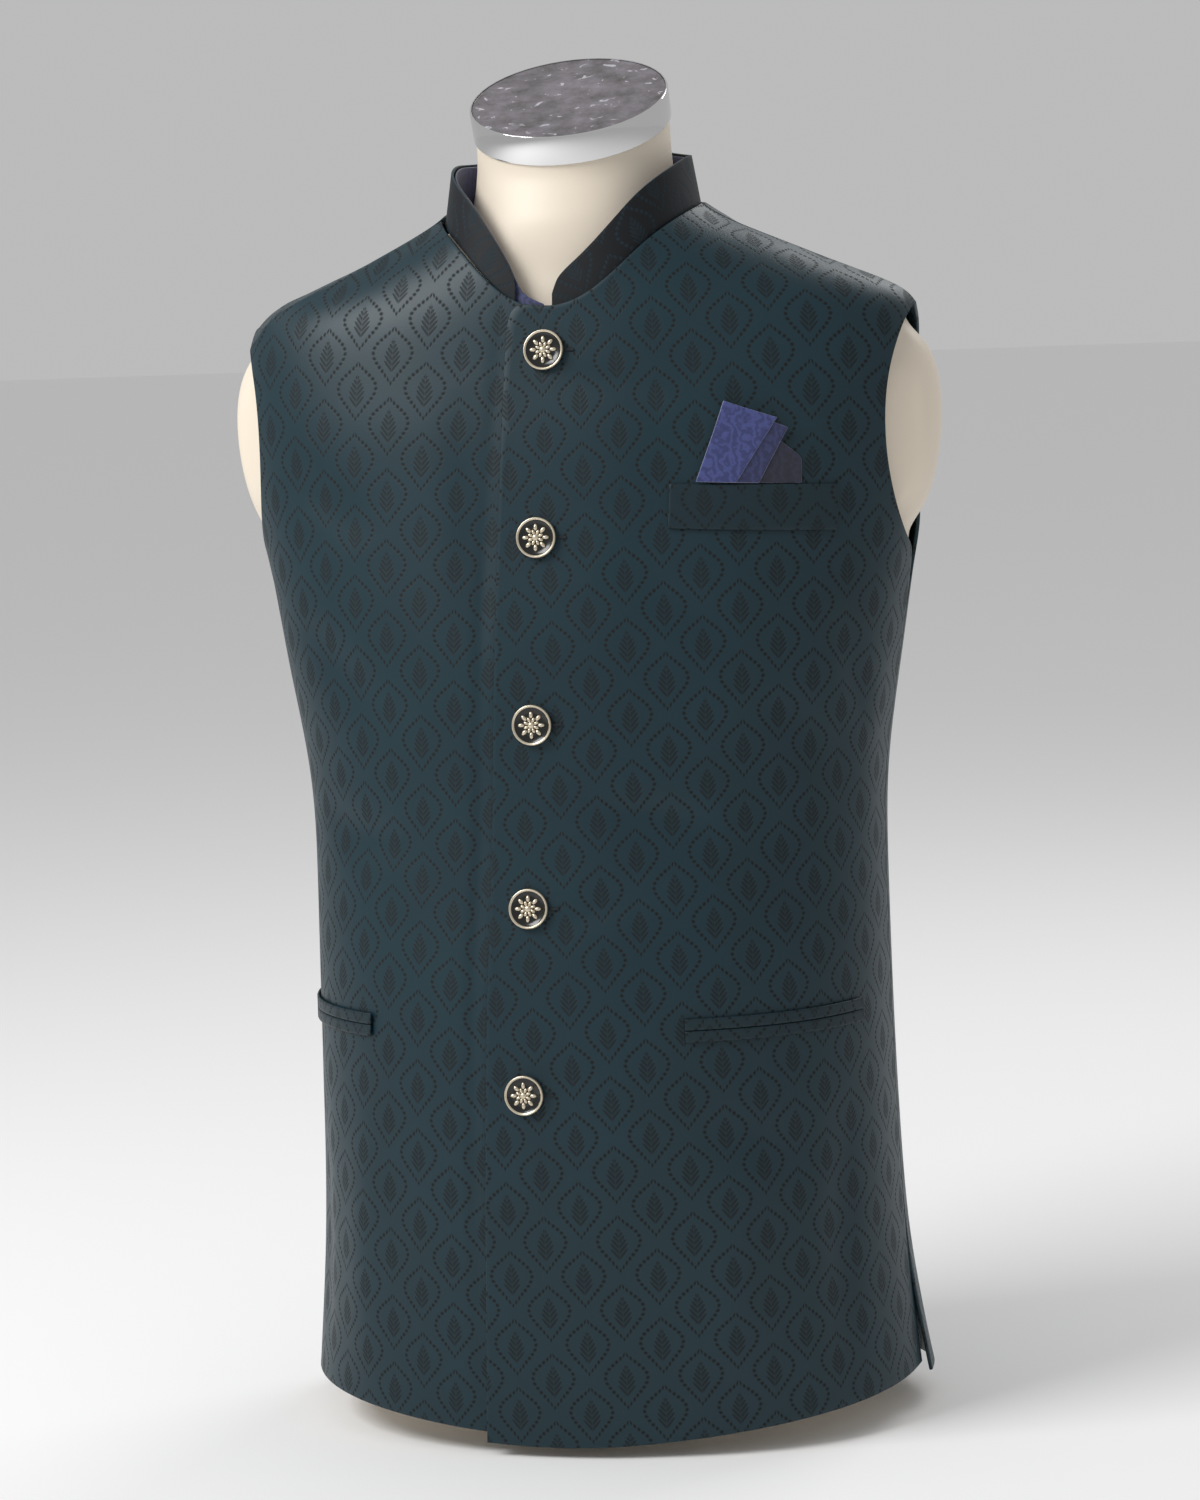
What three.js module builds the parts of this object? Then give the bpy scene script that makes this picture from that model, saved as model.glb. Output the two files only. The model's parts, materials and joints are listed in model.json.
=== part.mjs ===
// A sleeveless nehru jacket, buttoned on a limbless dress form.
// Millimetres, +Z up, front towards -Y, wearer's left towards +X.
// The origin is on the surface the form stands on, under its middle.
import * as THREE from "three";

const radians = THREE.MathUtils.degToRad;

// ---------------------------------------------------------------- driving sizes

const wall = 2.2; // a panel's thickness: brocade, canvas and lining
const seamGap = 0.3; // between pieces that meet
const lapGap = 0.9; // between two layers whose facets differ: the lapped fronts, the stand and its lining
const collarGap = 1.3; // between the stand and the neckline's facets
const clearance = 4; // between the cloth and the form

const hemHeight = 8; // the hem at the centre front
const hemRise = 18; // how much higher it is at the sides
const backHemDrop = 6; // the back hangs this much lower than the fronts' side corners
const rightHemRise = 4; // the under front is a little shorter
const ventTop = 111;
const ventFlare = 6; // the back stands out beside each vent

const lapWidth = 25; // from the button line to the edge of the upper front
const closureSwing = 27; // the closure drifts to the wearer's right by this much at the hem
const closureTop = 700;

const armholeHeight = 623; // the middle of each armhole
const armholeHalfHeight = 75;
const armholeHalfAngle = 13; // degrees of the body's girth
const armBulge = 17; // the form's rounded shoulder ends stand out of the armholes

const neck = { side: 81, front: 82, back: 78, square: 2.5, backSquare: 2 }; // plan of the neck seam
const collarHeight = 31;
const collarLean = 5; // the stand leans in by this much at its top
const collarEndRise = 9; // upright part of each front end, before its curve
const collarEndCurve = 38; // length of that curve along the seam
const bandWall = 1.7;
const liningWall = 1;
const collarEnds = { left: 1.5, right: -15, lining: -2.5 }; // degrees from the centre front

const buttonPitch = 112.6;
const topButton = 678;
const buttonCount = 5;
const buttonRadius = 12.6;

const capTilt = 24; // degrees forward
const cap = { y: -7, z: 833, radius: 62.5, band: 18.5, bandWall: 1.3, plate: 6 };

// Horizontal sections of the worn jacket, inside its cloth. Square is the exponent of the section.
const sections = [
  { z: 0, width: 197, front: 147, back: 125, square: 2.35 },
  { z: 138, width: 185, front: 147, back: 122, square: 2.35 },
  { z: 268, width: 182, front: 141, back: 112, square: 2.35 },
  { z: 388, width: 181.5, front: 124, back: 117, square: 2.35 },
  { z: 488, width: 196, front: 118, back: 127, square: 2.35 },
  { z: 568, width: 209, front: 107, back: 123, square: 2.35 },
  { z: 628, width: 215, front: 98, back: 112, square: 2.35 },
  { z: 668, width: 217, front: 89, back: 100, square: 2.3 },
  { z: 699, width: 212, front: 83, back: 90, square: 2.15 },
  { z: 731, width: 148, front: 76, back: 86, square: 2.05 },
  { z: 763, width: 81, front: 67, back: 81, square: 2 },
  { z: 783, width: 68, front: 59, back: 75, square: 2 },
];

// Each shoulder seam runs from its armhole to the neck: its angles round the body, 90 being the side.
const shoulderSeams = {
  left: { tip: 89.5, neck: 84 },
  right: { tip: 82, neck: 68 },
};

// ---------------------------------------------------------------- the body's surface

// A smooth value of one column at height z, by cubic Hermite pieces with limited slopes.
function column(name, z) {
  const rows = sections;
  const clamped = THREE.MathUtils.clamp(z, rows[0].z, rows[rows.length - 1].z);
  let k = 0;
  while (k < rows.length - 2 && clamped > rows[k + 1].z) k += 1;
  const rise = (i) => (rows[i + 1][name] - rows[i][name]) / (rows[i + 1].z - rows[i].z);
  const slope = (i) => {
    if (i === 0) return rise(0);
    if (i === rows.length - 1) return rise(i - 1);
    const before = rise(i - 1);
    const after = rise(i);
    return before * after <= 0 ? 0 : (2 * before * after) / (before + after);
  };
  const span = rows[k + 1].z - rows[k].z;
  const t = (clamped - rows[k].z) / span;
  const t2 = t * t;
  const t3 = t2 * t;
  return (
    (2 * t3 - 3 * t2 + 1) * rows[k][name] +
    (t3 - 2 * t2 + t) * span * slope(k) +
    (3 * t2 - 2 * t3) * rows[k + 1][name] +
    (t3 - t2) * span * slope(k + 1)
  );
}

// Distance from the middle to the cloth at an angle (0 front, 90 wearer's left) and height.
function radius(angle, z) {
  const across = Math.abs(Math.sin(radians(angle)));
  const along = Math.cos(radians(angle));
  const depth = column(along > 0 ? "front" : "back", z);
  const power = column("square", z);
  const sum = (across / column("width", z)) ** power + (Math.abs(along) / depth) ** power;
  return sum ** (-1 / power);
}

function surface(angle, z) {
  const r = radius(angle, z);
  return new THREE.Vector3(r * Math.sin(radians(angle)), -r * Math.cos(radians(angle)), z);
}

// Unit normal, pointing out of the body.
function normal(angle, z) {
  const step = 0.5;
  const round = surface(angle + step, z).sub(surface(angle - step, z));
  const up = surface(angle, z + step).sub(surface(angle, z - step));
  return round.cross(up).normalize();
}

// A point moved out of the body's surface.
function raised(angle, z, out) {
  return surface(angle, z).addScaledVector(normal(angle, z), out);
}

// The angle at which the front of the surface has this x.
function angleAt(x, z) {
  const power = column("square", z);
  const share = Math.min(Math.abs(x) / column("width", z), 0.999);
  const depth = column("front", z) * (1 - share ** power) ** (1 / power);
  return THREE.MathUtils.radToDeg(Math.atan2(x, depth));
}

// The height at which the surface's radius has shrunk to the one asked for.
function heightAt(angle, wanted) {
  let low = armholeHeight;
  let high = sections[sections.length - 1].z;
  for (let i = 0; i < 40; i += 1) {
    const middle = (low + high) / 2;
    if (radius(angle, middle) > wanted) low = middle;
    else high = middle;
  }
  return low;
}

// ---------------------------------------------------------------- seams and edges
// An edge point is { angle, z }.

const mix = (a, b, t) => a + (b - a) * t;
const smooth = (from, to, value) => THREE.MathUtils.smoothstep(value, from, to);

function closureX(z) {
  return -closureSwing * Math.max(0, 1 - z / closureTop);
}

function hem(angle, drop = 0) {
  return hemHeight + hemRise * Math.sin(radians(angle)) ** 2 + drop;
}

function neckRadius(angle) {
  const along = Math.cos(radians(angle));
  const depth = along > 0 ? neck.front : neck.back;
  const square = along > 0 ? neck.square : neck.backSquare;
  const across = Math.abs(Math.sin(radians(angle))) / neck.side;
  return (across ** square + Math.abs(along / depth) ** square) ** (-1 / square);
}

function neckline(angle) {
  return { angle, z: heightAt(angle, neckRadius(angle)) };
}

// The armhole on the left side: turn -90 is under the arm, 90 the shoulder, 270 under the arm again.
function armhole(turn) {
  return {
    angle: 90 - armholeHalfAngle * Math.cos(radians(turn)),
    z: armholeHeight + armholeHalfHeight * Math.sin(radians(turn)),
  };
}

function tipTurn(seam) {
  return THREE.MathUtils.radToDeg(Math.acos((90 - seam.tip) / armholeHalfAngle));
}

const underarm = armholeHeight - armholeHalfHeight;
const mirrored = (point) => ({ angle: -point.angle, z: point.z });
const shifted = (point, distance) => ({
  angle: point.angle + THREE.MathUtils.radToDeg(distance / radius(point.angle, point.z)),
  z: point.z,
});

// ---------------------------------------------------------------- mesh helpers

// A closed shell between two grids of points of one size; the grids' rows run left to right, bottom to top.
function shellGeometry(inner, outer) {
  const rows = inner.length;
  const columns = inner[0].length;
  const positions = [...inner.flat(), ...outer.flat()].flatMap((p) => [p.x, p.y, p.z]);
  const at = (layer, row, col) => layer * rows * columns + row * columns + col;
  const index = [];
  const quad = (a, b, c, d) => index.push(a, b, c, a, c, d);
  for (let r = 0; r < rows - 1; r += 1) {
    for (let c = 0; c < columns - 1; c += 1) {
      quad(at(1, r, c), at(1, r, c + 1), at(1, r + 1, c + 1), at(1, r + 1, c));
      quad(at(0, r, c), at(0, r + 1, c), at(0, r + 1, c + 1), at(0, r, c + 1));
    }
    quad(at(0, r, 0), at(1, r, 0), at(1, r + 1, 0), at(0, r + 1, 0));
    const last = columns - 1;
    quad(at(0, r, last), at(0, r + 1, last), at(1, r + 1, last), at(1, r, last));
  }
  for (let c = 0; c < columns - 1; c += 1) {
    quad(at(0, 0, c), at(0, 0, c + 1), at(1, 0, c + 1), at(1, 0, c));
    const top = rows - 1;
    quad(at(0, top, c), at(1, top, c), at(1, top, c + 1), at(0, top, c + 1));
  }
  const geometry = new THREE.BufferGeometry();
  geometry.setAttribute("position", new THREE.Float32BufferAttribute(positions, 3));
  geometry.setIndex(index);
  return geometry;
}

// A solid through closed rings of points, capped at its two ends; rings run anticlockwise from above.
function ringsGeometry(rings) {
  const count = rings[0].length;
  const centre = (ring) =>
    ring.reduce((sum, p) => sum.add(p), new THREE.Vector3()).divideScalar(count);
  const ends = [centre(rings[0]), centre(rings[rings.length - 1])];
  const positions = [...rings.flat(), ...ends].flatMap((p) => [p.x, p.y, p.z]);
  const index = [];
  for (let r = 0; r < rings.length - 1; r += 1) {
    for (let c = 0; c < count; c += 1) {
      const a = r * count + c;
      const b = r * count + ((c + 1) % count);
      index.push(a, b, b + count, a, b + count, a + count);
    }
  }
  const bottom = rings.length * count;
  const last = (rings.length - 1) * count;
  for (let c = 0; c < count; c += 1) {
    const next = (c + 1) % count;
    index.push(bottom, next, c, bottom + 1, last + c, last + next);
  }
  const geometry = new THREE.BufferGeometry();
  geometry.setAttribute("position", new THREE.Float32BufferAttribute(positions, 3));
  geometry.setIndex(index);
  return geometry;
}

const group = new THREE.Group();

function add(name, geometry, material, parent = group) {
  const mesh = new THREE.Mesh(geometry, material);
  mesh.name = name;
  parent.add(mesh);
  return mesh;
}

// ---------------------------------------------------------------- panels

const brocade = new THREE.MeshStandardMaterial({ color: 0x1d363f, roughness: 0.5 });
const bandCloth = new THREE.MeshStandardMaterial({ color: 0x141f26, roughness: 0.6 });
const liningCloth = new THREE.MeshStandardMaterial({ color: 0x3b4478, roughness: 0.45 });

// A cloth panel bounded by four edges on the body's surface, each a function of 0..1.
// left and right run up, bottom and top run across; lift(angle, z) moves the panel out.
function panel(edges, columns, rows, lift, thickness = wall) {
  const corner = (edge, t) => edges[edge](t);
  const blend = (key, u, v) =>
    (1 - v) * corner("bottom", u)[key] +
    v * corner("top", u)[key] +
    (1 - u) * corner("left", v)[key] +
    u * corner("right", v)[key] -
    (1 - u) * (1 - v) * corner("bottom", 0)[key] -
    u * (1 - v) * corner("bottom", 1)[key] -
    (1 - u) * v * corner("top", 0)[key] -
    u * v * corner("top", 1)[key];
  const grid = Array.from({ length: rows + 1 }, (_, r) =>
    Array.from({ length: columns + 1 }, (_, c) => ({
      angle: blend("angle", c / columns, r / rows),
      z: blend("z", c / columns, r / rows),
    })),
  );
  relax(grid);
  const layer = (out) =>
    grid.map((row) => row.map(({ angle, z }) => raised(angle, z, lift(angle, z) + out)));
  return shellGeometry(layer(0), layer(thickness));
}

// Moves a grid's inner points towards an inverse harmonic map, which keeps cells from folding
// beside a curved edge. Worked in millimetres across and up.
function relax(grid) {
  for (let pass = 0; pass < relaxPasses; pass += 1) {
    for (let r = 1; r < grid.length - 1; r += 1) {
      for (let c = 1; c < grid[r].length - 1; c += 1) {
        const [below, above] = [grid[r - 1][c], grid[r + 1][c]];
        const [before, after] = [grid[r][c - 1], grid[r][c + 1]];
        const across = { x: (after.angle - before.angle) * degreeWidth, y: after.z - before.z };
        const up = { x: (above.angle - below.angle) * degreeWidth, y: above.z - below.z };
        const wide = across.x ** 2 + across.y ** 2;
        const tall = up.x ** 2 + up.y ** 2;
        const slant = across.x * up.x + across.y * up.y;
        for (const key of ["angle", "z"]) {
          const turnAbove = grid[r + 1][c + 1][key] - grid[r + 1][c - 1][key];
          const turnBelow = grid[r - 1][c + 1][key] - grid[r - 1][c - 1][key];
          const ends = tall * (before[key] + after[key]) + wide * (below[key] + above[key]);
          const turn = (slant * (turnAbove - turnBelow)) / 2;
          const next = (ends - turn) / (2 * (wide + tall));
          grid[r][c][key] += relaxStep * (next - grid[r][c][key]);
        }
      }
    }
  }
}

const degreeWidth = 3.5; // millimetres of the body's surface to a degree, near enough
const relaxStep = 0.8; // of each move, the part taken
const relaxPasses = 80;
const lowerShare = 0.5; // of a panel's rows, those below the arm
const edgeFoot = 10; // degrees from the front at which a front's edge meets the hem
const edgeShare = 0.72; // of a front's rows, those beside its straight edge

// A front as if it were the left one: its edge and neckline, then its side seam and armhole.
function frontEdges(edgeAt, cornerAngle, hemDrop, seam) {
  const side = (z) => shifted({ angle: 90, z }, -seamGap / 2);
  const sideHem = hem(90, hemDrop);
  const tip = tipTurn(seam);
  const neckEnd = shifted(neckline(seam.neck), -seamGap / 2);
  const cornerPoint = neckline(cornerAngle);
  const left = (v) => {
    if (v <= edgeShare) {
      const z = mix(hem(edgeFoot, hemDrop), cornerPoint.z, v / edgeShare);
      return { angle: edgeAt(z), z };
    }
    return neckline(mix(cornerAngle, neckEnd.angle, (v - edgeShare) / (1 - edgeShare)));
  };
  const right = (v) => {
    if (v <= lowerShare) return side(mix(sideHem, underarm, v / lowerShare));
    return shifted(armhole(mix(-90, tip, (v - lowerShare) / (1 - lowerShare))), -seamGap / 2);
  };
  const bottom = (u) => {
    const angle = mix(left(0).angle, right(0).angle, u);
    return { angle, z: hem(angle, hemDrop) };
  };
  const top = (u) => ({
    angle: mix(left(1).angle, right(1).angle, u),
    z: mix(left(1).z, right(1).z, u),
  });
  return { left, right, bottom, top };
}

const turnedRound = (edges) => ({
  left: (v) => mirrored(edges.right(v)),
  right: (v) => mirrored(edges.left(v)),
  bottom: (u) => mirrored(edges.bottom(1 - u)),
  top: (u) => mirrored(edges.top(1 - u)),
});

const frontColumns = 13;
const backColumns = 28;
const panelRows = 25;

// The upper front lies over the under front beside the closure, and comes down to it further out.
const lapLift = wall + lapGap;
const lapFlat = 14; // past the button line's lap, where the upper front starts to come down
const lapFall = 70; // and where it is down
function upperLift(angle, z) {
  const fromClosure = surface(angle, z).x - closureX(z);
  return lapLift * (1 - smooth(lapWidth + lapFlat, lapWidth + lapFall, fromClosure));
}

const lapEdge = (z) => angleAt(closureX(z) - lapWidth, z);
const underEdge = (z) => -angleAt(closureX(z) + lapWidth, z);
const neckCorners = { upper: -16, under: 17 }; // near where each front's edge meets the neckline
const lapCorner = lapEdge(neckline(neckCorners.upper).z);

function fronts() {
  const leftEdges = frontEdges(lapEdge, lapCorner, 0, shoulderSeams.left);
  add("front_left", panel(leftEdges, frontColumns, panelRows, upperLift), brocade);
  const underCorner = underEdge(neckline(neckCorners.under).z);
  const rightEdges = turnedRound(
    frontEdges(underEdge, underCorner, rightHemRise, shoulderSeams.right),
  );
  add("front_right", panel(rightEdges, frontColumns, panelRows, () => 0), brocade);
}

const shoulderColumns = 0.25; // of the back's columns, those under each shoulder seam

function back() {
  const low = hem(90, -backHemDrop);
  const side = (seam) => (v) => {
    if (v <= lowerShare) {
      return shifted({ angle: 90, z: mix(low, underarm, v / lowerShare) }, seamGap / 2);
    }
    const t = (v - lowerShare) / (1 - lowerShare);
    const turned = 0.5 + Math.asin(2 * t - 1) / Math.PI; // even steps of height
    return shifted(armhole(mix(270, tipTurn(seam), turned)), seamGap / 2);
  };
  const left = side(shoulderSeams.left);
  const rightSide = side(shoulderSeams.right);
  const right = (v) => {
    const point = rightSide(v);
    return { angle: 360 - point.angle, z: point.z };
  };
  const bottom = (u) => {
    const angle = mix(left(0).angle, right(0).angle, u);
    return { angle, z: hem(angle, -backHemDrop * Math.abs(Math.sin(radians(angle)))) };
  };
  const neckLeft = shifted(neckline(shoulderSeams.left.neck), seamGap / 2);
  const neckRight = shifted(neckline(360 - shoulderSeams.right.neck), -seamGap / 2);
  const top = (u) => {
    if (u < shoulderColumns) {
      const t = u / shoulderColumns;
      return { angle: mix(left(1).angle, neckLeft.angle, t), z: mix(left(1).z, neckLeft.z, t) };
    }
    if (u > 1 - shoulderColumns) {
      const t = (1 - u) / shoulderColumns;
      return { angle: mix(right(1).angle, neckRight.angle, t), z: mix(right(1).z, neckRight.z, t) };
    }
    const t = (u - shoulderColumns) / (1 - 2 * shoulderColumns);
    return neckline(mix(neckLeft.angle, neckRight.angle, t));
  };
  const flare = (angle, z) => {
    const fromSide = Math.abs(Math.sin(radians(angle)));
    return ventFlare * (1 - smooth(hemHeight, ventTop, z)) * smooth(0.8, 1, fromSide);
  };
  add("back", panel({ left, right, bottom, top }, backColumns, panelRows, flare), brocade);
}

// ---------------------------------------------------------------- stand collar

const collarColumns = 44;
const endCrowding = 0.75; // 0 spaces the stand's columns evenly, 1 crowds them most at its ends
const tabLow = 0.35; // the lining's tab, at its end, as a share of its full height

// Height of the stand at a distance along the seam from one of its front ends.
function standHeight(distance, full = collarHeight) {
  const t = Math.min(distance / collarEndCurve, 1);
  return collarEndRise + (full - collarEndRise) * Math.sqrt(1 - (1 - t) ** 2);
}

// One layer of the stand: it rises inside the neck seam, from the right end round the back to the left end.
function stand(startAngle, endAngle, inset, thickness, heightOf) {
  const inner = [];
  const outer = [];
  const rows = 3;
  for (let r = 0; r <= rows; r += 1) {
    inner.push([]);
    outer.push([]);
    for (let c = 0; c <= collarColumns; c += 1) {
      // more columns near the curved ends
      const even = c / collarColumns;
      const share = even - (endCrowding * Math.sin(2 * Math.PI * even)) / (2 * Math.PI);
      const angle = mix(startAngle, endAngle, share);
      const seat = neckline(angle).z;
      const along = Math.min(share, 1 - share) * radians(endAngle - startAngle) * neck.side;
      const height = heightOf(along, share) * (r / rows);
      const out = neckRadius(angle) - collarGap - inset - (collarLean * height) / collarHeight;
      const place = (distance) =>
        new THREE.Vector3(
          distance * Math.sin(radians(angle)),
          -distance * Math.cos(radians(angle)),
          seat + height,
        );
      outer[r].push(place(out));
      inner[r].push(place(out - thickness));
    }
  }
  return shellGeometry(inner, outer);
}

function collar() {
  const bandStart = collarEnds.left;
  const bandEnd = 360 + collarEnds.right;
  add("collar", stand(bandStart, bandEnd, 0, bandWall, (along) => standHeight(along)), bandCloth);
  const liningEnd = 360 + collarEnds.lining;
  const liningInset = bandWall + lapGap;
  // Past the band's right end the lining is only a low tab, which falls towards the centre front.
  const tab = radians(collarEnds.lining - collarEnds.right) * neck.side;
  const liningHeight = (along, share) => {
    const past = share > 0.5 ? tab : 0;
    const fall = past ? Math.min(1, mix(tabLow, 1, along / past)) : 1;
    return (standHeight(Math.max(along - past, 0), collarHeight - 1) - 0.5) * fall;
  };
  add(
    "collar_lining",
    stand(bandStart, liningEnd, liningInset, liningWall, liningHeight),
    liningCloth,
  );
}

// ---------------------------------------------------------------- pockets

// A strip lying on a front between four corners, each [angle, z], lower ones first.
function strip([lowA, lowB, highB, highA], columns, rows, out, thickness) {
  const point = (a, b, t) => ({ angle: mix(a[0], b[0], t), z: mix(a[1], b[1], t) });
  const edges = {
    bottom: (u) => point(lowA, lowB, u),
    top: (u) => point(highA, highB, u),
    left: (v) => point(lowA, highA, v),
    right: (v) => point(lowB, highB, v),
  };
  return panel(edges, columns, rows, (angle, z) => out + pocketLift(angle, z), thickness);
}

const pocketLift = (angle, z) => wall + seamGap + (angle > 0 ? upperLift(angle, z) : 0);

const weltWall = 1.8;
const lipWall = 1.6;
const lipHeight = 7.1;
const lowerPocket = { bottom: 258, left: [31, 72.5], right: [-86, -47] };

// The handkerchief stands out of the welt in three folds, the front one first.
const welt = [[36, 569], [67.5, 564], [68.5, 592], [37.5, 596]];
const squareFolds = [
  [[43.5, 596.4], [51.5, 595.1], [60, 633], [51.5, 644]],
  [[48, 595.7], [55.5, 594.4], [61.5, 627], [56, 636]],
  [[52, 595.1], [62.5, 593.5], [63, 609], [58, 626]],
];
const foldWall = 0.9;

function pockets() {
  add("breast_welt", strip(welt, 10, 2, 0, weltWall), brocade);
  squareFolds.forEach((fold, i) => {
    const out = (squareFolds.length - 1 - i) * (foldWall + seamGap);
    add("square_fold_" + (i + 1), strip(fold, 4, 6, out, foldWall), liningCloth);
  });
  for (const side of ["left", "right"]) {
    const [from, to] = lowerPocket[side];
    const lip = (low) => {
      const high = low + lipHeight;
      return strip([[from, low], [to, low], [to, high], [from, high]], 10, 1, 0, lipWall);
    };
    add("pocket_lip_lower_" + side, lip(lowerPocket.bottom), brocade);
    add("pocket_lip_upper_" + side, lip(lowerPocket.bottom + lipHeight + seamGap), brocade);
  }
}

// ---------------------------------------------------------------- buttons

const buttonMetal = new THREE.MeshStandardMaterial({
  color: 0xd8cdb8,
  roughness: 0.3,
  metalness: 1,
});

// Half of the button's outline, from the shank's foot to the middle of the face: radius, height.
const buttonOutline = [
  [0, 0],
  [3, 0],
  [3, 1.4],
  [buttonRadius - 1.6, 1.4],
  [buttonRadius - 0.4, 1.9],
  [buttonRadius, 2.8],
  [buttonRadius - 0.6, 3.7],
  [buttonRadius - 1.3, 3.9],
  [buttonRadius - 2, 3.4],
  [buttonRadius * 0.5, 4],
  [0, 4.3],
];

function buttons() {
  for (let i = 0; i < buttonCount; i += 1) {
    const z = topButton - i * buttonPitch;
    const angle = angleAt(closureX(z), z);
    const out = lapLift + wall + seamGap;
    const profile = buttonOutline.map(([x, y]) => new THREE.Vector2(x, y));
    const geometry = new THREE.LatheGeometry(profile, 16);
    const mesh = add("button_" + (i + 1), geometry, buttonMetal);
    mesh.position.copy(raised(angle, z, out));
    mesh.quaternion.setFromUnitVectors(new THREE.Vector3(0, 1, 0), normal(angle, z));
  }
}

// ---------------------------------------------------------------- dress form

const formFinish = new THREE.MeshStandardMaterial({ color: 0xe8dccb, roughness: 0.45 });
const chrome = new THREE.MeshStandardMaterial({ color: 0xd9d9d9, roughness: 0.08, metalness: 1 });
const stoneLaminate = new THREE.MeshStandardMaterial({ color: 0x4a4748, roughness: 0.35 });

const formSides = 56;
const sideCrowding = 15; // degrees: its corners crowd towards the shoulder ends
const neckInset = 5;
const neckFade = [6, 30]; // that inset fades out over these distances from the neck seam
const foot = { height: 31, inset: 80 }; // what the form stands on, drawn in behind the hem
const easedEdge = 3; // the form's lower edge is drawn in by this much
const formHeights = [
  34, 42, 74, 130, 200, 270, 340, 410, 470, 515, 545, 558, 572, 590, 612, 636, 658, 675, 686, 698, 709,
  721, 733,
];
const neckRings = [
  { share: 0.12, radius: 66 },
  { share: 0.4, radius: 63 },
  { share: 0.7, radius: 61 },
];
const neckStart = { y: 0, z: 752 };
const capSocket = 5; // the neck runs straight into the cap from this far below the band
const ridgeInset = 4; // the form lies this much deeper under the shoulder ridge
const ridgeFade = [650, 690]; // and gets there between these heights
const bulgeInset = { angle: 3, height: 12 }; // the shoulder ends stand this far inside the armholes

// How far the form stands out of the cloth's inner face; it draws in near the neck, inside the stand.
function formOut(angle, z) {
  const fromNeck = radius(angle, z) - neck.side;
  const nearNeck = neckInset * (1 - smooth(neckFade[0], neckFade[1], fromNeck));
  const side = Math.min(Math.abs(angle - 90), Math.abs(angle - 270)) / (armholeHalfAngle - bulgeInset.angle);
  const height = (z - armholeHeight) / (armholeHalfHeight - bulgeInset.height);
  const inside = Math.max(0, 1 - side * side - height * height);
  const nearRidge = ridgeInset * smooth(ridgeFade[0], ridgeFade[1], z);
  return armBulge * Math.sqrt(inside) - clearance - nearNeck - nearRidge;
}

function form() {
  const round = (k) => {
    const even = (360 * k) / formSides;
    return even + sideCrowding * Math.sin(radians(2 * even));
  };
  const body = formHeights.map((z) =>
    Array.from({ length: formSides }, (_, k) => {
      const edge = z === formHeights[0] ? easedEdge : 0;
      return raised(round(k), z, formOut(round(k), z) - edge);
    }),
  );
  const tilt = new THREE.Vector3(1, 0, 0);
  const alongCap = (distance) =>
    new THREE.Vector3(0, 0, -distance)
      .applyAxisAngle(tilt, radians(capTilt))
      .add(new THREE.Vector3(0, cap.y, cap.z));
  const ring = (centre, size, lean) =>
    Array.from({ length: formSides }, (_, k) =>
      new THREE.Vector3(size * Math.sin(radians(round(k))), -size * Math.cos(radians(round(k))), 0)
        .applyAxisAngle(tilt, radians(lean))
        .add(centre),
    );
  const socket = alongCap(cap.band + capSocket);
  const column = neckRings.map(({ share, radius: size }) => {
    const y = mix(neckStart.y, socket.y, share);
    const centre = new THREE.Vector3(0, y, mix(neckStart.z, socket.z, share));
    return ring(centre, size, capTilt * share);
  });
  const plug = cap.radius - cap.bandWall - seamGap;
  column.push(ring(socket, plug, capTilt), ring(alongCap(cap.plate + seamGap), plug, capTilt));
  const footRing = (z) =>
    body[0].map((p) => {
      const inward = new THREE.Vector3(p.x, p.y, 0).setLength(foot.inset);
      return new THREE.Vector3(p.x - inward.x, p.y - inward.y, z);
    });
  const rings = [footRing(0), footRing(foot.height), ...body, ...column];
  add("dress_form", ringsGeometry(rings), formFinish);
}

function neckCap() {
  const parent = new THREE.Group();
  parent.position.set(0, cap.y, cap.z);
  parent.rotation.x = radians(90 + capTilt); // the lathe's axis, +Y, becomes the neck's axis
  group.add(parent);
  const inside = cap.radius - cap.bandWall;
  const band = [
    [inside, -cap.band],
    [cap.radius, -cap.band],
    [cap.radius, -0.8],
    [cap.radius - 0.6, 0],
    [inside, 0],
    [inside, -cap.band],
  ];
  const plate = [
    [0, -cap.plate],
    [inside - seamGap, -cap.plate],
    [inside - seamGap, -0.5],
    [0, -0.5],
  ];
  const lathe = (points) => new THREE.LatheGeometry(points.map(([x, y]) => new THREE.Vector2(x, y)), 48);
  add("neck_band", lathe(band), chrome, parent);
  add("cap_plate", lathe(plate), stoneLaminate, parent);
}

fronts();
back();
collar();
pockets();
buttons();
form();
neckCap();

export default group;
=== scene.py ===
# A sleeveless nehru jacket of dark brocade, buttoned on a limbless dress form.
# Metres, +Z up, the front towards -Y and the wearer's left towards +X.
import json
import math

import bmesh
import bpy
import numpy as np
from mathutils import Matrix, Vector

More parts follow.
